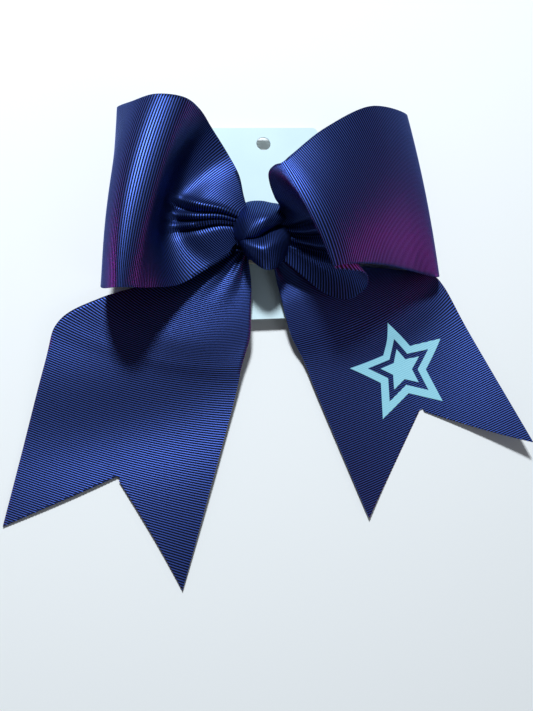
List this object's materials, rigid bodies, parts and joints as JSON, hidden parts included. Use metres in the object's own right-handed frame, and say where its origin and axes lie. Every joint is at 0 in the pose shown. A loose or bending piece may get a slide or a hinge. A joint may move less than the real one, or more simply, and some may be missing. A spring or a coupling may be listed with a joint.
{
  "type": "cheer hair bow",
  "caption": "Large hair bow of wide ribbed ribbon with two loops, two notched tails and a knotted centre, held by a spring clip on a hang card.",
  "frame": {"origin": "on the outer face of the clip's lower arm, straight behind the knot, in the plane that the bow lies on", "axes": "+Z out of the bow's face; +Y towards the loops' top, up the card; +X to the right when seen from the front"},
  "size_m": [0.218, 0.2062, 0.0518],
  "materials": {
    "navy_ribbon": "ribbed grosgrain with a soft sheen",
    "tie_thread": "waxed thread",
    "glue": "set hot-melt glue",
    "clip_steel": "nickel-plated sheet steel",
    "spring_wire": "drawn spring wire",
    "white_card": "uncoated white card",
    "pale_vinyl": "heat-pressed vinyl"
  },
  "bodies": {
    "bow": {"left_loop": "navy_ribbon", "right_loop": "navy_ribbon", "left_tail_root": "navy_ribbon", "right_tail_root": "navy_ribbon", "gather_core": "navy_ribbon", "gather_tie": "tie_thread", "knot_upper_fold": "navy_ribbon", "knot_lower_fold": "navy_ribbon", "knot_back_band": "navy_ribbon", "glue_pad": "glue", "clip_upper_arm": "clip_steel", "clip_lining": "navy_ribbon", "clip_pin": "clip_steel", "clip_spring": "spring_wire"},
    "clip_jaw": {"clip_lower_arm": "clip_steel"},
    "card": {"display_card": "white_card"},
    "left_tail": {"left_tail": "navy_ribbon"},
    "right_tail": {"right_tail": "navy_ribbon", "emblem_outline": "pale_vinyl", "emblem_star": "pale_vinyl"}
  },
  "joints": [
    {"name": "clip_open", "type": "hinge", "parent": "bow", "child": "clip_jaw", "pos_m": [-0.019, 0, 0.004], "axis": [0, 1, 0], "range_deg": [0, 17], "stiffness_Nm_per_rad": 0.02, "springref_deg": -28.65, "deforming": ["clip_spring"]},
    {"name": "card_slide", "type": "slide", "parent": "bow", "child": "card", "axis": [-0.0872, 0.9962, 0], "range_m": [0, 0.045]},
    {"name": "left_tail_lift", "type": "hinge", "parent": "bow", "child": "left_tail", "pos_m": [-0.0415, -0.0415, 0.005], "axis": [-0.9959, 0.0905, 0], "range_deg": [0, 60]},
    {"name": "right_tail_lift", "type": "hinge", "parent": "bow", "child": "right_tail", "pos_m": [0.053, -0.0255, 0.005], "axis": [-0.9198, -0.3923, 0], "range_deg": [0, 60]}
  ]
}
